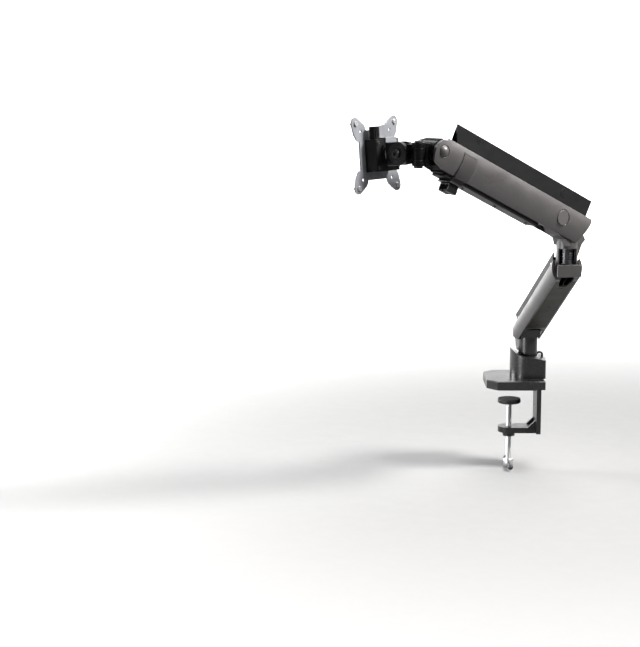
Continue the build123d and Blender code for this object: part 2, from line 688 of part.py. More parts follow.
def swivel_bolt():
    """Bolt through the fork, with its head below and its end nut above."""
    z0, z1 = -FORK_TOP, FORK_TOP
    body = zcyl(SWIVEL_PIN_R, z0 - 3.5, z1) + zcyl(7.0, z0 - 3.5, z0) + zcyl(6.2, z1, z1 + 2.6)
    body -= Pos(0, 0, z0 - 3.5) * extrude(RegularPolygon(3.0, 6), 2.5)
    return one(body)


def swivel_link():
    """Barrel on the swivel bolt with an arm to the tilt joint."""
    z = KNUCKLE - 0.2
    body = zcyl(SWIVEL_R - 0.2, -z, z)
    body += box(0, TILT_AHEAD, -5.0, 5.0, -z, z)
    body += box(12.5, TILT_AHEAD, -5.0, 5.0, -15.0, 15.0)
    body += ycyl(12.0, -5.0, 5.0, TILT_AHEAD, 0)
    body -= zcyl(SWIVEL_PIN_R + RUN, -20, 20)
    body -= ycyl(SWIVEL_PIN_R + 0.02, -20, 20, TILT_AHEAD, 0)
    return one(body)


# ---- tilt block and VESA plate ------------------------------------------------------------
TILT_R = 18.5
TILT_HALF = 14.0
HUB_X = 21.0
HUB_R = 8.0


def tilt_block():
    """Round knuckle either side of the swivel arm, closing into the rotation hub seat."""
    body = ycyl(TILT_R, -TILT_HALF, TILT_HALF)
    body += box(0, HUB_X, -TILT_HALF, TILT_HALF, -TILT_R, TILT_R)
    wide = extrude(Plane.YZ * RectangleRounded(2 * TILT_HALF, 2 * TILT_R, 4.0), amount=60)
    body &= Pos(-30, 0, 0) * wide
    slot = box(-30, 13.2, -5.2, 5.2, -30, 30)
    body -= slot
    body -= ycyl(SWIVEL_PIN_R + RUN, -30, 30)
    body -= ycyl(17.0, TILT_HALF - 1.0, 30) + ycyl(17.0, -30, -TILT_HALF + 1.0)
    body -= xcyl(HUB_R + 0.02, 14.5, HUB_X + 1)
    return one(body)


def tilt_bolt():
    body = ycyl(SWIVEL_PIN_R, -TILT_HALF - 5.5, TILT_HALF + 4.5)
    body += ycyl(6.8, TILT_HALF + 1.0, TILT_HALF + 5.5)
    body += Pos(0, -TILT_HALF - 1.0, 0) * Rot(90, 0, 0) * extrude(RegularPolygon(7.2, 6), 4.0)
    body -= Pos(0, TILT_HALF + 5.5, 0) * Rot(90, 0, 0) * extrude(RegularPolygon(3.3, 6), 3.0)
    return one(body)


def tilt_washers():
    """Friction washer stack seen as concentric rings on both cheeks."""
    rings = []
    for r, y0, y1 in ((16.4, TILT_HALF - 0.98, TILT_HALF + 0.2), (12.0, TILT_HALF + 0.2, TILT_HALF + 1.0)):
        washer = ring(r, SWIVEL_PIN_R + 0.08, y0, y1)
        rings.append(washer)
        rings.append(one(mirror(washer, Plane.XZ)))
    return rings


def rotation_hub():
    """Short spindle the VESA head turns on."""
    body = xcyl(HUB_R, 14.6, 36.0) + xcyl(14.5, HUB_X, HUB_X + 1.6)
    return one(body)


ADAPTER_X0 = 27.0
ADAPTER_HALF = 30.0
ADAPTER_Z0 = -26.0
ADAPTER_Z1 = 24.0
KNOB_X = 37.5
KNOB_Y = 19.0
KNOB_R = 8.0


def head_adapter():
    """Quick-release block between the hub and the VESA plate."""
    x1 = PLATE_AHEAD
    body = box(ADAPTER_X0, x1, -ADAPTER_HALF, ADAPTER_HALF, ADAPTER_Z0, ADAPTER_Z1)
    body = chamfer(body.edges().filter_by(Axis.Z), 1.5)
    body += xcyl(15.0, HUB_X + 1.7, ADAPTER_X0)
    body -= xcyl(HUB_R + RUN, 10, 36.5)
    body -= box(38, x1 + 1, -12, 12, ADAPTER_Z0 - 1, -12)
    body -= zcyl(3.02, 4.0, 60, KNOB_X, KNOB_Y)
    return one(body)


def arm_pad(y, z):
    """One broad rounded arm of the plate out to its pair of holes."""
    tip = Pos(50 * y, 50 * z) * Circle(9.6)
    root = Pos(40 * y, 37 * z) * Circle(15.5)
    return make_hull((tip + root).edges())


def vesa_plate():
    """Four-armed sheet with 75 and 100 mm hole patterns, a lobe and a folded top tab."""
    face = Rectangle(84, 78)
    for y in (-1, 1):
        for z in (-1, 1):
            face += arm_pad(y, z)
    face -= Pos(94, 0) * Circle(51) + Pos(-94, 0) * Circle(51)
    face -= Pos(0, 98) * Circle(58) + Pos(0, -98) * Circle(58)
    face += make_hull((Pos(-15, 36) * Circle(9) + Pos(-34, 37.5) * Circle(9)).edges())
    for s in (37.5, 50.0):
        for y in (-s, s):
            for z in (-s, s):
                face -= Pos(y, z) * Circle(2.6)
    body = Pos(PLATE_AHEAD, 0, 0) * extrude(Plane.YZ * face, amount=PLATE_T)
    tab = box(ADAPTER_X0 - 2.0, PLATE_AHEAD + 1, -21, 7, ADAPTER_Z1 + 0.1, ADAPTER_Z1 + 2.1)
    tab += box(ADAPTER_X0 - 2.0, ADAPTER_X0 - 0.1, -21, 7, ADAPTER_Z1 - 6.0, ADAPTER_Z1 + 2.1)
    body += tab
    return one(body)


def vesa_screws():
    """Monitor screws in the outer holes."""
    screws = []
    x = PLATE_AHEAD
    for y in (-50, 50):
        for z in (-50, 50):
            shoulder = x + PLATE_T + 0.3
            screw = xcyl(2.0, shoulder, x + 10, y, z) + xcyl(2.3, x, shoulder, y, z)
            screw += xcyl(3.8, x - 2.4, x, y, z)
            screw -= xcyl(0.9, x - 2.5, x - 1.0, y, z)
            screws.append(one(screw))
    return screws


def release_knob():
    """Ribbed thumb screw that locks the quick release."""
    z0 = ADAPTER_Z1 + 0.2
    body = zcyl(KNOB_R, z0, z0 + 20.0)
    body = chamfer(body.faces().sort_by(Axis.Z)[-1].edges(), 1.2)
    for i in range(16):
        body -= Rot(0, 0, 22.5 * i) * zcyl(1.0, z0 + 2.5, z0 + 24.0, KNOB_R + 0.3)
    body += zcyl(2.95, 5.0, z0 + 1.0)
    return Pos(KNOB_X, KNOB_Y, 0) * one(body)


# ---- write every piece --------------------------------------------------------------------
def main():
    os.makedirs("parts", exist_ok=True)
    low_link = (LOW_X + LOW_DX, LOW_Z + LOW_DZ)
    elbow_link = (LOW_TIP_X + LOW_DX, LOW_TIP_Z + LOW_DZ)
    up_link = (UP_X + UP_DX, UP_Z + UP_DZ)
    head_link = (UP_TIP_X + UP_DX, UP_TIP_Z + UP_DZ)

    put("foot_pad", HERE, foot_pad())
    put("foot_plate", HERE, foot_plate())
    put("block_screws", HERE, *block_screws())
    put("base_block", HERE, base_block())
    put("post_pin", HERE, post_pin())
    put("post_washer", HERE, post_washer())
    put("block_hook", HERE, block_hook())
    put("clamp_bracket", HERE, clamp_bracket())
    put("clamp_bracket_screws", HERE, *clamp_bracket_screws())
    put("pressure_pad", HERE, pressure_pad())
    put("pad_rubber", HERE, pad_rubber())
    put("clamp_spindle", HERE, clamp_spindle())
    put("clamp_handle", HERE, clamp_handle())

    put("turret", LOW_FRAME, turret())
    put("turret_bush", LOW_FRAME, turret_bush())
    put("lower_main_pin", LOW_FRAME, Pos(LOW_X, 0, LOW_Z) * cross_pin(PIN_R, LOW_PIN_END))
    put("lower_link_pin", LOW_FRAME, Pos(low_link[0], 0, low_link[1]) * cross_pin(LINK_PIN_R, 20.0))
    spacers = ring_pair(5.5, PIN_R + 0.02, LOW_LUG, LOW_WALL - 0.1, [(LOW_X, LOW_Z)])
    put("lower_pivot_spacers", LOW_FRAME, *spacers)

    put("lower_casing", LOW_ARM, lower_casing())
    put("lower_underside_cover", LOW_ARM, lower_underside_cover())
    put("lower_spring_tube", LOW_ARM, lower_spring_tube())
    put("lower_pull_rod", LOW_ARM, lower_pull_rod())
    put("lower_top_link", LOW_ARM, lower_top_link())

    put("elbow_bracket", LOW_FRAME, elbow_bracket())
    put("elbow_post", LOW_FRAME, elbow_post())
    put("elbow_washer", LOW_FRAME, elbow_washer())
    put("elbow_hook", LOW_FRAME, elbow_hook())
    put("elbow_main_pin", LOW_FRAME, Pos(LOW_TIP_X, 0, LOW_TIP_Z) * cross_pin(PIN_R, LOW_PIN_END))
    put("elbow_link_pin", LOW_FRAME, Pos(elbow_link[0], 0, elbow_link[1]) * cross_pin(LINK_PIN_R, 20.0))
    spacers = ring_pair(5.5, PIN_R + 0.02, LOW_LUG, LOW_WALL - 0.1, [(LOW_TIP_X, LOW_TIP_Z)])
    put("elbow_spacers", LOW_FRAME, *spacers)

    put("upper_turret", UP_FRAME, upper_turret())
    put("upper_bush", UP_FRAME, upper_bush())
    put("upper_main_pin", UP_FRAME, Pos(UP_X, 0, UP_Z) * cross_pin(PIN_R, UP_PIN_END))
    put("upper_link_pin", UP_FRAME, Pos(up_link[0], 0, up_link[1]) * cross_pin(LINK_PIN_R, 21.1))
    spacers = ring_pair(5.4, PIN_R + 0.02, UP_LUG, UP_WALL - 0.1, [(UP_X, UP_Z)])
    put("upper_pivot_spacers", UP_FRAME, *spacers)

    put("upper_casing", UP_ARM, upper_casing())
    put("disc_caps", UP_ARM, *disc_caps())
    put("dome_caps", UP_ARM, *dome_caps())
    put("cable_cover", UP_ARM, cable_cover())
    put("cable_clip", UP_ARM, cable_clip())
    put("cable_gate", UP_ARM, cable_gate())
    put("head_end_cover", UP_ARM, head_end_cover())
    put("upper_spring_tube", UP_ARM, upper_spring_tube())
    put("upper_pull_rod", UP_ARM, upper_pull_rod())
    put("upper_top_link", UP_ARM, upper_top_link())
    put("link_plugs", UP_ARM, *link_plugs())

    put("head_bracket", UP_FRAME, head_bracket())
    put("head_main_pin", UP_FRAME, Pos(UP_TIP_X, 0, UP_TIP_Z) * cross_pin(PIN_R, UP_PIN_END))
    put("head_link_pin", UP_FRAME, Pos(head_link[0], 0, head_link[1]) * cross_pin(LINK_PIN_R, 21.1))
    spacers = ring_pair(5.4, PIN_R + 0.02, UP_LUG, UP_WALL - 0.1, [(UP_TIP_X, UP_TIP_Z)])
    put("head_pivot_spacers", UP_FRAME, *spacers)
    put("swivel_bolt", HEAD_FRAME, swivel_bolt())

    put("swivel_link", HEAD_FRAME, swivel_link())
    put("tilt_block", TILT_FRAME, tilt_block())
    put("tilt_bolt", TILT_FRAME, tilt_bolt())
    put("tilt_washers", TILT_FRAME, *tilt_washers())
    put("rotation_hub", TILT_FRAME, rotation_hub())
    put("head_adapter", TILT_FRAME, head_adapter())
    put("vesa_plate", TILT_FRAME, vesa_plate())
    put("vesa_screws", TILT_FRAME, *vesa_screws())
    put("release_knob", TILT_FRAME, release_knob())


if __name__ == "__main__":
    main()
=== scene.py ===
import json
from math import cos, hypot, pi, radians, sin

import bmesh
import bpy
from mathutils import Matrix, Vector


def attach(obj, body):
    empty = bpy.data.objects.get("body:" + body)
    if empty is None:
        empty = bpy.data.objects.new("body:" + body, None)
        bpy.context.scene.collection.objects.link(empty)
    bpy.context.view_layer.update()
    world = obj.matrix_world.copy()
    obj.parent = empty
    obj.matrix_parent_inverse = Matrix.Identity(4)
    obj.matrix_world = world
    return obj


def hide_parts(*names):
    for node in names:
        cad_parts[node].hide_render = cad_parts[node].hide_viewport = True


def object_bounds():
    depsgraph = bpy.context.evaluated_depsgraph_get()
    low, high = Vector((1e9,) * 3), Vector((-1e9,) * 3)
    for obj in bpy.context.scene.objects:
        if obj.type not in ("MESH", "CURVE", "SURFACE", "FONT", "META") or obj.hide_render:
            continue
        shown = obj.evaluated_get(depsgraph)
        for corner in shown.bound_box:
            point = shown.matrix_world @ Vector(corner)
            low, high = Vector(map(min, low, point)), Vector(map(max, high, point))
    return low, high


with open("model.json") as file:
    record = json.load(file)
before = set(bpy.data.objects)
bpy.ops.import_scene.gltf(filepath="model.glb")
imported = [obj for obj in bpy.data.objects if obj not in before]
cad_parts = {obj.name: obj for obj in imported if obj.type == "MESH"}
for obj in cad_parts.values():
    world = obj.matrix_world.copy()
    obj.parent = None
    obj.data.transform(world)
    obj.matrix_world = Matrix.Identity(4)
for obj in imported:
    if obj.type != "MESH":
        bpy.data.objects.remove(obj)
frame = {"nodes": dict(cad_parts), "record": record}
CAD_BOUNDS = [list(map(float, corner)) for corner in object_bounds()]
NODES = frame["nodes"]
SLOT_OF = {s["node"]: s["material_slot"] for s in frame["record"]["subparts"]}
MM = 0.001

# ---- the arm's pivots and pose, in millimetres and degrees, as the CAD has them -------------
LOW_HEADING = -81.4
LOW_PITCH = 31.0
LOW_X = 12.0
LOW_Z = 109.0
ELBOW_REACH = 235.0
UP_HEADING = -142.0
UP_PITCH = 24.5
UP_X = 37.5
UP_Z = 334.0
UP_LENGTH = 288.0
SWIVEL_AHEAD = 30.0
HEAD_HEADING = 141.5
HEAD_Z = 448.5
TILT_AHEAD = 31.0
TILT_REST = 4.5

# ---- cable clip and the painted shade of the seam around it, in the upper casing's own u (along), y and w (up) ----
# CASING_SIDE is three points (y, w) on the bulging side. The clip and that side are as the CAD has them.
CLIP_U0 = 220.0
CLIP_U1 = 246.0
CLIP_TOP_W = 12.0
CASING_SIDE = ((18.6, -25.5), (26.8, -3.0), (23.4, 22.0))
SEAM_LOW_W = -24.0
SEAM_HIGH_W = CLIP_TOP_W + 1.2
SEAM_ROWS = 22
SEAM_TOP_ROWS = 3
SEAM_GAP = 0.04
SEAM_WIDTH = 1.66
SEAM_FOOT = 0.02
SEAM_SHOULDER = 1.4
SEAM_HEIGHT = 1.62
SEAM_ROUND = 0.2
SEAM_STATIONS = (225.0, 233.0, 241.0)

# ---- clamp spindle, in millimetres, with its two plain ends as (radius, z) -------------------
SCREW_X = -32.0
SCREW_LEAD = 2.0
SCREW_R = 5.0
THREAD_DEPTH = 0.85
THREAD_Z0 = -138.0
THREAD_Z1 = -36.0
THREAD_STEP = 0.25
THREAD_FADE_ROWS = 8
SCREW_SIDES = 40
SCREW_HEAD = ((8.2, -151.95), (9.0, -150.8), (9.0, -139.2), (8.2, -138.0), (4.6, -138.0))
SCREW_TIP = ((4.0, -35.9), (4.0, -29.4), (3.6, -29.1))

# ---- small screws, in millimetres, each group in the frame of the section that carries it ----
HEAD_SIDES = 36
SOCKET_LEAD_IN = 0.15
SOCKET_TIP_R = 0.2
COVER_SCREWS = {"radius": 2.7, "height": 1.3, "w": -31.0, "spots": (52.0, 128.0, 206.0)}
UNDERSIDE_SCREWS = {"radius": 2.9, "height": 0.7, "w": -17.1, "spots": (46.0, 132.0, 216.0)}
ADAPTER_SCREWS = {"radius": 2.9, "height": 1.6, "x": 27.0, "y": (-24.5, 24.5), "z": (-20.5, 18.5)}

# ---- shape of a screw head: shares of its radius and of its height ----------------------------
HEAD_RIM = ((1.0, 0.0), (1.0, 0.72), (0.96, 0.9), (0.86, 1.0), (0.64, 1.0))
SOCKET_FLAT = 0.46
SOCKET_MOUTH = SOCKET_FLAT * 1.06
SOCKET_BOTTOM = 0.35
SOCKET_TIP = 0.25

# ---- studio: places in metres, camera angles in degrees, lens and sensor in millimetres -------
FLOOR_GAP = 0.0006
FLOOR_FRONT = -9.0
FLOOR_HALF_WIDTH = 12.0
SWEEP_Y = 4.0
SWEEP_RADIUS = 3.0
SWEEP_STEPS = 16
WALL_TOP = 9.0
CAMERA_PLACE = (-0.370, -3.183, 0.635)
CAMERA_DOWN = 9.316
CAMERA_TURN = 0.129
CAMERA_LENS = 99.04
CAMERA_SENSOR = 36.0
ARM_MIDDLE = (-0.08, -0.2, 0.25)
WHITE = (1.0, 1.0, 1.0)


# ---- camera, stage and light ---------------------------------------------------------------
def add_camera():
    data = bpy.data.cameras.new("camera")
    data.lens = CAMERA_LENS
    data.sensor_width = CAMERA_SENSOR
    data.clip_start = 0.05
    data.clip_end = 60.0
    cam = bpy.data.objects.new("camera", data)
    cam.location = CAMERA_PLACE
    cam.rotation_euler = (radians(90 - CAMERA_DOWN), 0.0, radians(CAMERA_TURN))
    bpy.context.scene.collection.objects.link(cam)
    bpy.context.scene.camera = cam


def area_light(name, place, aim, width, height, power, tint, spread=180.0):
    data = bpy.data.lights.new(name, "AREA")
    data.shape = "RECTANGLE"
    data.size = width
    data.size_y = height
    data.energy = power
    data.color = tint
    data.spread = radians(spread)
    lamp = bpy.data.objects.new(name, data)
    lamp.location = place
    turn = (Vector(aim) - Vector(place)).to_track_quat("-Z", "Y")
    lamp.rotation_euler = turn.to_euler()
    bpy.context.scene.collection.objects.link(lamp)


def add_lights():
    area_light("overhead", (0.35, -0.35, 2.7), ARM_MIDDLE, 2.0, 1.5, 32, (1.0, 0.99, 0.98), 80.0)
    area_light("key", (1.75, -0.75, 1.95), (-0.05, -0.3, 0.42), 0.8, 0.6, 42, (1.0, 0.985, 0.97), 60.0)
    area_light("left", (-2.35, 0.95, 0.95), ARM_MIDDLE, 1.2, 1.2, 27, (0.97, 0.98, 1.0), 60.0)
    area_light("backdrop", (0.0, 3.2, 2.8), (0, 6.0, 1.0), 6.0, 1.2, 420, WHITE)
    area_light("base_fill", (-1.25, -0.9, 0.12), (0, 0, 0.02), 0.4, 0.3, 1.3, (0.98, 0.99, 1.0), 40.0)
    area_light("far_floor", (0.0, 2.3, 2.5), (0, 2.6, 0.0), 7.0, 1.6, 260, WHITE, 130.0)


def sweep_profile(floor_z):
    """Side view of the paper: floor, quarter-round sweep and wall, as (y, z)."""
    curve = []
    for k in range(SWEEP_STEPS + 1):
        a = k / SWEEP_STEPS * pi / 2
        curve.append((SWEEP_Y + SWEEP_RADIUS * sin(a), floor_z + SWEEP_RADIUS * (1 - cos(a))))
    return [(FLOOR_FRONT, floor_z)] + curve + [(SWEEP_Y + SWEEP_RADIUS, WALL_TOP)]


def add_floor():
    """Pale paper that lies just under the object and curves up behind it."""
    profile = sweep_profile(CAD_BOUNDS[0][2] - FLOOR_GAP)
    bm = bmesh.new()
    left = [bm.verts.new((-FLOOR_HALF_WIDTH, y, z)) for y, z in profile]
    right = [bm.verts.new((FLOOR_HALF_WIDTH, y, z)) for y, z in profile]
    for k in range(len(profile) - 1):
        bm.faces.new((left[k], right[k], right[k + 1], left[k + 1]))
    mesh = bpy.data.meshes.new("floor")
    bm.to_mesh(mesh)
    bm.free()
    mesh.shade_smooth()
    floor = bpy.data.objects.new("floor", mesh)
    bpy.context.scene.collection.objects.link(floor)
    mesh.materials.append(floor_paper_painted_light())


def add_world():
    world = bpy.data.worlds.new("studio")
    world.use_nodes = True
    sky = world.node_tree.nodes["Background"]
    sky.inputs["Color"].default_value = (0.95, 0.97, 1.0, 1)
    sky.inputs["Strength"].default_value = 0.2
    bpy.context.scene.world = world
    bpy.context.scene.view_settings.view_transform = "Standard"


# ---- procedural materials ------------------------------------------------------------------
# Sockets of the colour mix node, whose names repeat for every kind of data.
MIX_FACTOR = 0
MIX_A = 6
MIX_B = 7
MIX_RESULT = 2


class Painter:
    """Builds one material from noise fields in the object's own metres."""

    def __init__(self, name):
        self.mat = bpy.data.materials.new(name)
        self.mat.use_nodes = True
        self.tree = self.mat.node_tree
        self.shader = self.tree.nodes["Principled BSDF"]
        self.place = self.tree.nodes.new("ShaderNodeTexCoord").outputs["Object"]

    def node(self, kind, **inputs):
        made = self.tree.nodes.new(kind)
        for key, value in inputs.items():
            self.feed(made.inputs[key], value)
        return made

    def feed(self, socket, value):
        if isinstance(value, bpy.types.NodeSocket):
            self.tree.links.new(value, socket)
        else:
            socket.default_value = value

    def stretched(self, x, y, z, turn=0.0):
        mapping = self.node("ShaderNodeMapping", Vector=self.place)
        mapping.inputs["Scale"].default_value = (x, y, z)
        mapping.inputs["Rotation"].default_value = (0, 0, radians(turn))
        return mapping.outputs[0]

    def noise(self, scale, detail=2.0, rough=0.5, vector=None, distortion=0.0):
        field = self.node("ShaderNodeTexNoise", Vector=vector or self.place, Scale=scale)
        field.inputs["Detail"].default_value = detail
        field.inputs["Roughness"].default_value = rough
        field.inputs["Distortion"].default_value = distortion
        return field.outputs["Fac"]

    def distance(self):
        """How far the point lies from the object's origin."""
        reach = self.tree.nodes.new("ShaderNodeVectorMath")
        reach.operation = "LENGTH"
        self.tree.links.new(self.place, reach.inputs[0])
        return reach.outputs["Value"]

    def spread(self, value, low, high, out_low=0.0, out_high=1.0, curve="LINEAR"):
        ramp = self.node("ShaderNodeMapRange", Value=value)
        ramp.interpolation_type = curve
        ramp.inputs["From Min"].default_value = low
        ramp.inputs["From Max"].default_value = high
        ramp.inputs["To Min"].default_value = out_low
        ramp.inputs["To Max"].default_value = out_high
        return ramp.outputs[0]

    def math(self, kind, a, b):
        step = self.tree.nodes.new("ShaderNodeMath")
        step.operation = kind
        self.feed(step.inputs[0], a)
        self.feed(step.inputs[1], b)
        return step.outputs[0]

    def mix(self, factor, a, b):
        """Colour a where the factor is nothing, colour b where it is one."""
        blend = self.tree.nodes.new("ShaderNodeMix")
        blend.data_type = "RGBA"
        self.feed(blend.inputs[MIX_FACTOR], factor)
        self.feed(blend.inputs[MIX_A], a)
        self.feed(blend.inputs[MIX_B], b)
        return blend.outputs[MIX_RESULT]

    def rounded(self, radius):
        """Shading normal that rounds sharp edges a little."""
        bevel = self.node("ShaderNodeBevel", Radius=radius)
        bevel.samples = 4
        return bevel.outputs[0]

    def edges(self, round_normal, low=0.02, high=0.25):
        """One along sharp edges, nothing on the flats."""
        geometry = self.tree.nodes.new("ShaderNodeNewGeometry")
        dot = self.tree.nodes.new("ShaderNodeVectorMath")
        dot.operation = "DOT_PRODUCT"
        self.tree.links.new(round_normal, dot.inputs[0])
        self.tree.links.new(geometry.outputs["Normal"], dot.inputs[1])
        return self.spread(self.math("SUBTRACT", 1.0, dot.outputs["Value"]), low, high)

    def bump(self, height, strength, distance, normal=None):
        relief = self.node("ShaderNodeBump", Height=height)
        relief.inputs["Strength"].default_value = strength
        relief.inputs["Distance"].default_value = distance
        if normal is not None:
            self.tree.links.new(normal, relief.inputs["Normal"])
        return relief.outputs[0]

    def finish(self, color, roughness, metal, normal, specular=0.5):
        self.feed(self.shader.inputs["Base Color"], color)
        self.feed(self.shader.inputs["Roughness"], roughness)
        self.shader.inputs["Metallic"].default_value = metal
        self.shader.inputs["Specular IOR Level"].default_value = specular
        if normal is not None:
            self.tree.links.new(normal, self.shader.inputs["Normal"])
        return self.mat


def rgb(r, g, b):
    return (r, g, b, 1.0)


def coated(name, base, deep, worn_and_edge_highlight, rough, grain, bump, specular=0.5):
    """Powder coat or spark-eroded plastic: fine grain, cloudy tone, and edges lighter in handled patches,
    partly as rubbed wear and partly as a painted edge highlight.
    """
    p = Painter(name)
    cloud = p.noise(26.0, detail=3.0, rough=0.55)
    speck = p.noise(grain, detail=1.5, rough=0.6)
    smear = p.noise(9.0, detail=4.0, rough=0.65, vector=p.stretched(1, 1, 3.2), distortion=0.8)
    tone = p.mix(p.spread(cloud, 0.3, 0.7), deep, base)
    tone = p.mix(p.spread(speck, 0.45, 0.8, out_high=0.35), tone, worn_and_edge_highlight)
    round_normal = p.rounded(radius=0.0007)
    handled = p.spread(p.noise(75.0, detail=4.0, rough=0.7), 0.38, 0.66, 0.15, 0.9)
    # Lighter sharp edges in handled patches: rubbed wear and also a painted edge highlight.
    tone = p.mix(p.math("MULTIPLY", p.edges(round_normal), handled), tone, worn_and_edge_highlight)
    gloss = p.spread(smear, 0.3, 0.7, rough - 0.06, rough + 0.08)
    gloss = p.math("ADD", gloss, p.spread(speck, 0.3, 0.7, -0.05, 0.05))
    normal = p.bump(speck, strength=bump, distance=0.00012, normal=round_normal)
    return p.finish(tone, gloss, metal=0.0, normal=normal, specular=specular)


def turned_metal(name, base, dull, rough, axis_stretch, line_scale):
    """Machined metal: fine lines, slight tarnish in clouds."""
    p = Painter(name)
    lines = p.noise(line_scale, detail=3.0, rough=0.6, vector=p.stretched(1, 1, axis_stretch))
    cloud = p.noise(60.0, detail=3.0, rough=0.6)
    tone = p.mix(p.spread(cloud, 0.35, 0.7, out_high=0.8), base, dull)
    gloss = p.spread(lines, 0.3, 0.7, rough - 0.08, rough + 0.12)
    gloss = p.math("ADD", gloss, p.spread(cloud, 0.3, 0.7, -0.03, 0.06))
    normal = p.bump(lines, strength=0.25, distance=0.00008, normal=p.rounded(radius=0.0004))
    return p.finish(tone, gloss, metal=1.0, normal=normal)


def silver_sheet():
    """Light satin sheet with a faint rolled grain, scuffs, and lighter edges that are partly rubbed wear and
    partly a painted edge highlight.
    """
    p = Painter("silver_sheet")
    grain = p.noise(260.0, detail=4.0, rough=0.65, vector=p.stretched(1, 1, 14))
    cloud = p.noise(34.0, detail=3.0, rough=0.6)
    tone = p.mix(p.spread(cloud, 0.3, 0.7), rgb(0.105, 0.109, 0.118), rgb(0.14, 0.144, 0.153))
    scuff = p.noise(420.0, rough=0.7, vector=p.stretched(1, 1, 0.12, turn=20))
    tone = p.mix(p.spread(scuff, 0.62, 0.75, out_high=0.3), tone, rgb(0.30, 0.305, 0.315))
    round_normal = p.rounded(radius=0.0006)
    # Lighter along every sharp edge: rubbed wear and also a painted edge highlight.
    tone = p.mix(p.math("MULTIPLY", p.edges(round_normal), 0.7), tone, rgb(0.34, 0.345, 0.355))
    gloss = p.spread(grain, 0.3, 0.7, 0.34, 0.5)
    normal = p.bump(grain, strength=0.2, distance=0.00006, normal=round_normal)
    return p.finish(tone, gloss, metal=0.35, normal=normal)


def floor_paper_painted_light():
    """Studio paper with painted light: darker under the lamps, paler further out where their light thins."""
    p = Painter("floor_paper_painted_light")
    painted_light_falloff = p.spread(p.distance(), 0.2, 2.6, curve="SMOOTHERSTEP")
    # Painted light: the paper's colour grows paler with distance from the object, making up for the lamps'
    # fall-off.
    tone = p.mix(painted_light_falloff, rgb(0.135, 0.135, 0.1342), rgb(0.70, 0.70, 0.695))
    fibre = p.noise(35.0, detail=4.0, rough=0.6)
    gloss = p.spread(fibre, 0.3, 0.7, 0.82, 0.9)
    return p.finish(tone, gloss, metal=0.0, normal=None, specular=0.2)


def rubber():
    """Matt rubber with patches of dust."""
    p = Painter("rubber")
    speck = p.noise(1600.0, detail=3.0, rough=0.6)
    dust = p.noise(48.0, detail=4.0, rough=0.7)
    tone = p.mix(p.spread(dust, 0.45, 0.75, out_high=0.5), rgb(0.016, 0.016, 0.017), rgb(0.055, 0.053, 0.05))
    gloss = p.spread(speck, 0.3, 0.7, 0.74, 0.92)
    normal = p.bump(speck, strength=0.35, distance=0.0001)
    return p.finish(tone, gloss, metal=0.0, normal=normal, specular=0.3)


def graphite():
    colors = rgb(0.0225, 0.0202, 0.0205), rgb(0.0172, 0.0155, 0.0157), rgb(0.08, 0.074, 0.074)
    return coated("graphite", *colors, rough=0.35, grain=1500.0, bump=0.20, specular=0.62)


def grey_plastic():
    colors = rgb(0.034, 0.0305, 0.031), rgb(0.027, 0.0243, 0.0247), rgb(0.09, 0.083, 0.083)
    return coated("grey_plastic", *colors, rough=0.40, grain=2100.0, bump=0.16, specular=0.32)


def clip_plastic():
    colors = rgb(0.020, 0.018, 0.0182), rgb(0.016, 0.0144, 0.0146), rgb(0.07, 0.065, 0.065)
    return coated("clip_plastic", *colors, rough=0.40, grain=2100.0, bump=0.16, specular=0.28)


# The base's dark coat, made far darker than the arm's graphite as painted shade on the foot, block and
# turret.
def base_coat_painted_shade():
    colors = rgb(0.0030, 0.0029, 0.0028), rgb(0.0020, 0.0019, 0.0019), rgb(0.026, 0.025, 0.024)
    return coated("base_coat_painted_shade", *colors, rough=0.30, grain=1300.0, bump=0.20, specular=0.42)


def underside():
    colors = rgb(0.0105, 0.0101, 0.0072), rgb(0.0078, 0.0075, 0.0054), rgb(0.04, 0.038, 0.03)
    return coated("underside", *colors, rough=0.46, grain=1500.0, bump=0.20, specular=0.2)


def dark_coat():
    colors = rgb(0.0018, 0.0018, 0.0019), rgb(0.0012, 0.0012, 0.0013), rgb(0.018, 0.018, 0.019)
    return coated("dark_coat", *colors, rough=0.44, grain=1500.0, bump=0.20, specular=0.15)


# Black cast metal, darkened beyond its own colour as painted shade.
def black_cast():
    colors = rgb(0.0012, 0.0012, 0.0013), rgb(0.0007, 0.0007, 0.0008), rgb(0.014, 0.014, 0.0145)
    return coated("black_cast", *colors, rough=0.26, grain=1300.0, bump=0.24, specular=0.2)


def black_steel():
    colors = rgb(0.0034, 0.0034, 0.0036), rgb(0.0023, 0.0023, 0.0024), rgb(0.032, 0.032, 0.033)
    return coated("black_steel", *colors, rough=0.32, grain=1200.0, bump=0.22, specular=0.32)


# Black plastic, darkened beyond its own colour as painted shade.
def black_plastic():
    colors = rgb(0.0013, 0.0013, 0.0014), rgb(0.0008, 0.0008, 0.0009), rgb(0.012, 0.012, 0.0126)
    return coated("black_plastic", *colors, rough=0.40, grain=2400.0, bump=0.30, specular=0.18)


def bearing_plastic():
    colors = rgb(0.34, 0.32, 0.28), rgb(0.27, 0.255, 0.22), rgb(0.45, 0.43, 0.38)
    return coated("bearing_plastic", *colors, rough=0.40, grain=900.0, bump=0.08)


def ring_steel():
    colors = rgb(0.085, 0.085, 0.09), rgb(0.05, 0.05, 0.053)
    return turned_metal("ring_steel", *colors, rough=0.36, axis_stretch=8, line_scale=800.0)


def zinc_steel():
    colors = rgb(0.56, 0.56, 0.57), rgb(0.40, 0.40, 0.39)
    return turned_metal("zinc_steel", *colors, rough=0.34, axis_stretch=6, line_scale=900.0)


def dark_steel():
    colors = rgb(0.055, 0.055, 0.058), rgb(0.03, 0.03, 0.032)
    return turned_metal("dark_steel", *colors, rough=0.40, axis_stretch=6, line_scale=900.0)


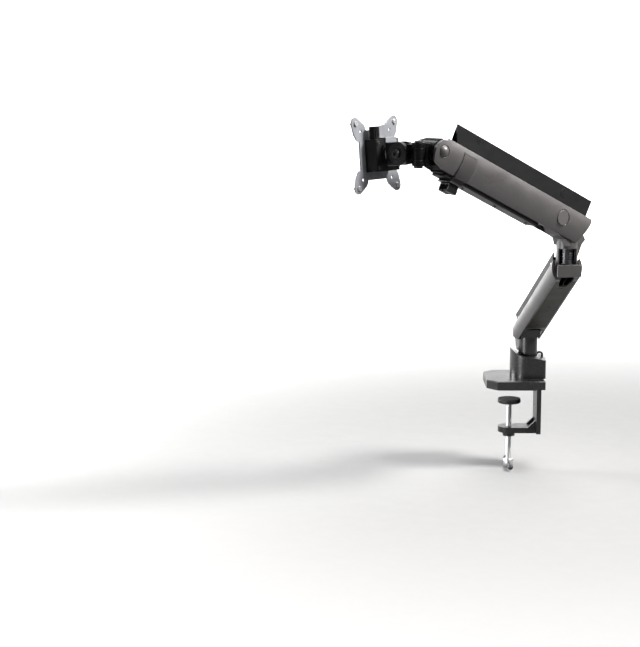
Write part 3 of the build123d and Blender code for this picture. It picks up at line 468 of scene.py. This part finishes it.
def rod_chrome():
    colors = rgb(0.68, 0.68, 0.70), rgb(0.55, 0.55, 0.57)
    return turned_metal("rod_chrome", *colors, rough=0.14, axis_stretch=9, line_scale=700.0)


# Nodes whose surface differs from the general look of their material slot.
PAINT_OF = {
    # The foot, block and turret take a much darker coat as painted shade.
    "foot_plate": "base_coat_painted_shade",
    "base_block": "base_coat_painted_shade",
    "turret": "base_coat_painted_shade",
    "post_washer": "black_plastic",
    "tilt_washers": "black_steel",
    "cable_clip": "clip_plastic",
    "elbow_post": "ring_steel",
    "elbow_washer": "black_plastic",
}


def make_materials():
    return {
        "graphite": graphite(),
        "grey_plastic": grey_plastic(),
        "clip_plastic": clip_plastic(),
        "base_coat_painted_shade": base_coat_painted_shade(),
        "underside": underside(),
        "dark_coat": dark_coat(),
        "black_cast": black_cast(),
        "black_steel": black_steel(),
        "black_plastic": black_plastic(),
        "bearing_plastic": bearing_plastic(),
        "ring_steel": ring_steel(),
        "zinc_steel": zinc_steel(),
        "dark_steel": dark_steel(),
        "rod_chrome": rod_chrome(),
        "silver_sheet": silver_sheet(),
        "rubber": rubber(),
    }


def paint_nodes():
    for name, node in NODES.items():
        node.data.materials.clear()
        node.data.materials.append(MATERIALS[PAINT_OF.get(name, SLOT_OF[name])])


# ---- frames of the moving sections, in millimetres -------------------------------------------
def moved(x, y, z):
    return Matrix.Translation((x, y, z))


def spun(axis, degrees):
    return Matrix.Rotation(radians(degrees), 4, axis)


LOW_FRAME = spun("Z", LOW_HEADING)
LOW_ARM = LOW_FRAME @ moved(LOW_X, 0, LOW_Z) @ spun("Y", -LOW_PITCH)
ELBOW = LOW_FRAME @ Vector((ELBOW_REACH, 0, 0))
UP_FRAME = moved(ELBOW.x, ELBOW.y, 0) @ spun("Z", UP_HEADING)
UP_ARM = UP_FRAME @ moved(UP_X, 0, UP_Z) @ spun("Y", -UP_PITCH)
UP_TIP_X = UP_X + UP_LENGTH * cos(radians(UP_PITCH))
SWIVEL = UP_FRAME @ Vector((UP_TIP_X + SWIVEL_AHEAD, 0, 0))
HEAD_FRAME = moved(SWIVEL.x, SWIVEL.y, HEAD_Z) @ spun("Z", HEAD_HEADING)
TILT_FRAME = HEAD_FRAME @ moved(TILT_AHEAD, 0, 0) @ spun("Y", TILT_REST)


# ---- mesh helpers --------------------------------------------------------------------------
def add_piece(name, bm, place, body, slot, smooth=35.0):
    """Turns a millimetre mesh into a metre-sized piece that rides with a CAD body."""
    bmesh.ops.recalc_face_normals(bm, faces=bm.faces)
    bm.transform(place)
    bm.transform(Matrix.Scale(MM, 4))
    mesh = bpy.data.meshes.new(name)
    bm.to_mesh(mesh)
    bm.free()
    mesh.shade_smooth()
    mesh.set_sharp_from_angle(angle=radians(smooth))
    piece = bpy.data.objects.new(name, mesh)
    bpy.context.scene.collection.objects.link(piece)
    mesh.materials.append(MATERIALS[slot])
    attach(piece, body)
    return piece


def add_loops(bm, loops):
    """Skins closed rings of equal count one after another and caps both ends."""
    rings = [[bm.verts.new(v) for v in ring] for ring in loops]
    count = len(rings[0])
    for a, b in zip(rings, rings[1:]):
        for k in range(count):
            n = (k + 1) % count
            bm.faces.new((a[k], a[n], b[n], b[k]))
    bm.faces.new(rings[0])
    bm.faces.new(rings[-1])


def circle(radius, z, count=HEAD_SIDES):
    return [(radius * cos(2 * pi * k / count), radius * sin(2 * pi * k / count), z) for k in range(count)]


def hexagon(flat, z, count=HEAD_SIDES):
    """Hexagon with as many points as a circle, so that both can be skinned together."""
    ring = []
    for k in range(count):
        a = 2 * pi * k / count
        r = flat / cos((a % (pi / 3)) - pi / 6)
        ring.append((r * cos(a), r * sin(a), z))
    return ring


# ---- screws on the covers and on the adapter -------------------------------------------------
def socket_head(bm, place, radius, height):
    """Cap screw head with a rounded rim and a hexagon socket, pointing up its own z."""
    flat = radius * SOCKET_FLAT
    mouth = radius * SOCKET_MOUTH
    loops = [circle(radius * r, height * z) for r, z in HEAD_RIM]
    loops += [hexagon(mouth, height), hexagon(flat, height - SOCKET_LEAD_IN)]
    loops += [hexagon(flat, height * SOCKET_BOTTOM), circle(SOCKET_TIP_R, height * SOCKET_TIP)]
    part = bmesh.new()
    add_loops(part, loops)
    part.transform(place)
    mesh = bpy.data.meshes.new("part")
    part.to_mesh(mesh)
    part.free()
    bm.from_mesh(mesh)
    bpy.data.meshes.remove(mesh)


def screw_group(name, sizes, spots, place, body):
    bm = bmesh.new()
    for spot in spots:
        socket_head(bm, spot, sizes["radius"], sizes["height"])
    add_piece(name, bm, place, body, "dark_steel")


def row_below(sizes):
    """Places along a section's underside, pointing down."""
    return [moved(u, 0, sizes["w"]) @ spun("X", 180.0) for u in sizes["spots"]]


def cable_cover_screws():
    screw_group("cable_cover_screws", COVER_SCREWS, row_below(COVER_SCREWS), UP_ARM, "upper_casing")


def underside_screws():
    screw_group("underside_screws", UNDERSIDE_SCREWS, row_below(UNDERSIDE_SCREWS), LOW_ARM, "lower_casing")


def adapter_screws():
    """One screw near each corner of the adapter, facing back to the arm."""
    sizes = ADAPTER_SCREWS
    spots = [moved(sizes["x"], y, z) @ spun("Y", -90.0) for y in sizes["y"] for z in sizes["z"]]
    screw_group("adapter_screws", sizes, spots, TILT_FRAME, "vesa_head")


# ---- painted shade in the seam around the cable clip -----------------------------------------
def circle_through(first, second, third):
    """Centre and radius of the circle through three points."""
    (ax, ay), (bx, by), (cx, cy) = first, second, third
    a2, b2, c2 = ax**2 + ay**2, bx**2 + by**2, cx**2 + cy**2
    double = 2 * (ax * (by - cy) + bx * (cy - ay) + cx * (ay - by))
    x = (a2 * (by - cy) + b2 * (cy - ay) + c2 * (ay - by)) / double
    y = (a2 * (cx - bx) + b2 * (ax - cx) + c2 * (bx - ax)) / double
    return x, y, hypot(ax - x, ay - y)


def casing_arc(w_low, w_high, count):
    """The upper casing's bulging side from low to high, as (y, w, outward y, outward w)."""
    y0, w0, radius = circle_through(*CASING_SIDE)
    path = []
    for k in range(count):
        w = w_low + (w_high - w_low) * k / (count - 1)
        y = y0 + (radius**2 - (w - w0) ** 2) ** 0.5
        path.append((y, w, (y - y0) / radius, (w - w0) / radius))
    return path


def upright_seam(bm, side, u0, u1):
    """Strip up one edge of the clip, on the casing's left (1) or right (-1) side."""
    section = [(u0, SEAM_FOOT), (u0, SEAM_SHOULDER), (u0 + SEAM_ROUND, SEAM_HEIGHT)]
    section += [(u1 - SEAM_ROUND, SEAM_HEIGHT), (u1, SEAM_SHOULDER), (u1, SEAM_FOOT)]
    loops = []
    for y, w, ny, nw in casing_arc(SEAM_LOW_W, SEAM_HIGH_W, SEAM_ROWS):
        loops.append([(u, side * (y + ny * h), w + nw * h) for u, h in section])
    add_loops(bm, loops)


def top_seam(bm, side, u0, u1):
    """Strip along the clip's upper edge."""
    arc = casing_arc(CLIP_TOP_W + SEAM_GAP, CLIP_TOP_W + SEAM_GAP + SEAM_WIDTH, SEAM_TOP_ROWS)
    loops = []
    for u in (u0, *SEAM_STATIONS, u1):
        inner = [(u, side * (y + ny * SEAM_FOOT), w + nw * SEAM_FOOT) for y, w, ny, nw in arc]
        outer = [(u, side * (y + ny * SEAM_HEIGHT), w + nw * SEAM_HEIGHT) for y, w, ny, nw in arc]
        loops.append(inner + outer[::-1])
    add_loops(bm, loops)


def clip_seam_painted_shade():
    """Dark strips, painted shade of the seam along the cable clip's two edges and its top on both sides."""
    low, high = CLIP_U0 - SEAM_GAP, CLIP_U1 + SEAM_GAP
    bm = bmesh.new()
    for side in (1, -1):
        upright_seam(bm, side, low - SEAM_WIDTH, low)
        upright_seam(bm, side, high, high + SEAM_WIDTH)
        top_seam(bm, side, low - SEAM_WIDTH, high + SEAM_WIDTH)
    # The strips take the dark rubber finish as painted shade of the gap around the clip.
    add_piece("clip_seam_painted_shade", bm, UP_ARM, "upper_casing", "rubber")


# ---- clamp spindle ---------------------------------------------------------------------------
def thread_ring(z, fade):
    """One ring of the thread, cut in full where fade is one and down to its root where fade is zero."""
    ring = []
    for k in range(SCREW_SIDES):
        phase = (z / SCREW_LEAD - k / SCREW_SIDES) % 1.0
        cut = THREAD_DEPTH * (1 - abs(2 * phase - 1)) * fade + (1 - fade) * THREAD_DEPTH
        a = 2 * pi * k / SCREW_SIDES
        ring.append(((SCREW_R - cut) * cos(a), (SCREW_R - cut) * sin(a), z))
    return ring


def threaded_spindle():
    """Clamp screw with its thread cut in full, in place of the plain CAD shaft."""
    rows = int((THREAD_Z1 - THREAD_Z0) / THREAD_STEP)
    loops = [circle(r, z, SCREW_SIDES) for r, z in SCREW_HEAD]
    for row in range(rows + 1):
        fade = min(1.0, row / THREAD_FADE_ROWS, (rows - row) / THREAD_FADE_ROWS)
        loops.append(thread_ring(THREAD_Z0 + row * THREAD_STEP, fade))
    loops += [circle(r, z, SCREW_SIDES) for r, z in SCREW_TIP]
    bm = bmesh.new()
    add_loops(bm, loops)
    place = moved(SCREW_X, 0, 0)
    piece = add_piece("threaded_spindle", bm, place, "clamp_screw", "zinc_steel", smooth=50.0)
    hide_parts("clamp_spindle")


# ---- build -----------------------------------------------------------------------------------
add_camera()
add_floor()
add_world()
add_lights()
MATERIALS = make_materials()
paint_nodes()
clip_seam_painted_shade()
threaded_spindle()
cable_cover_screws()
underside_screws()
adapter_screws()
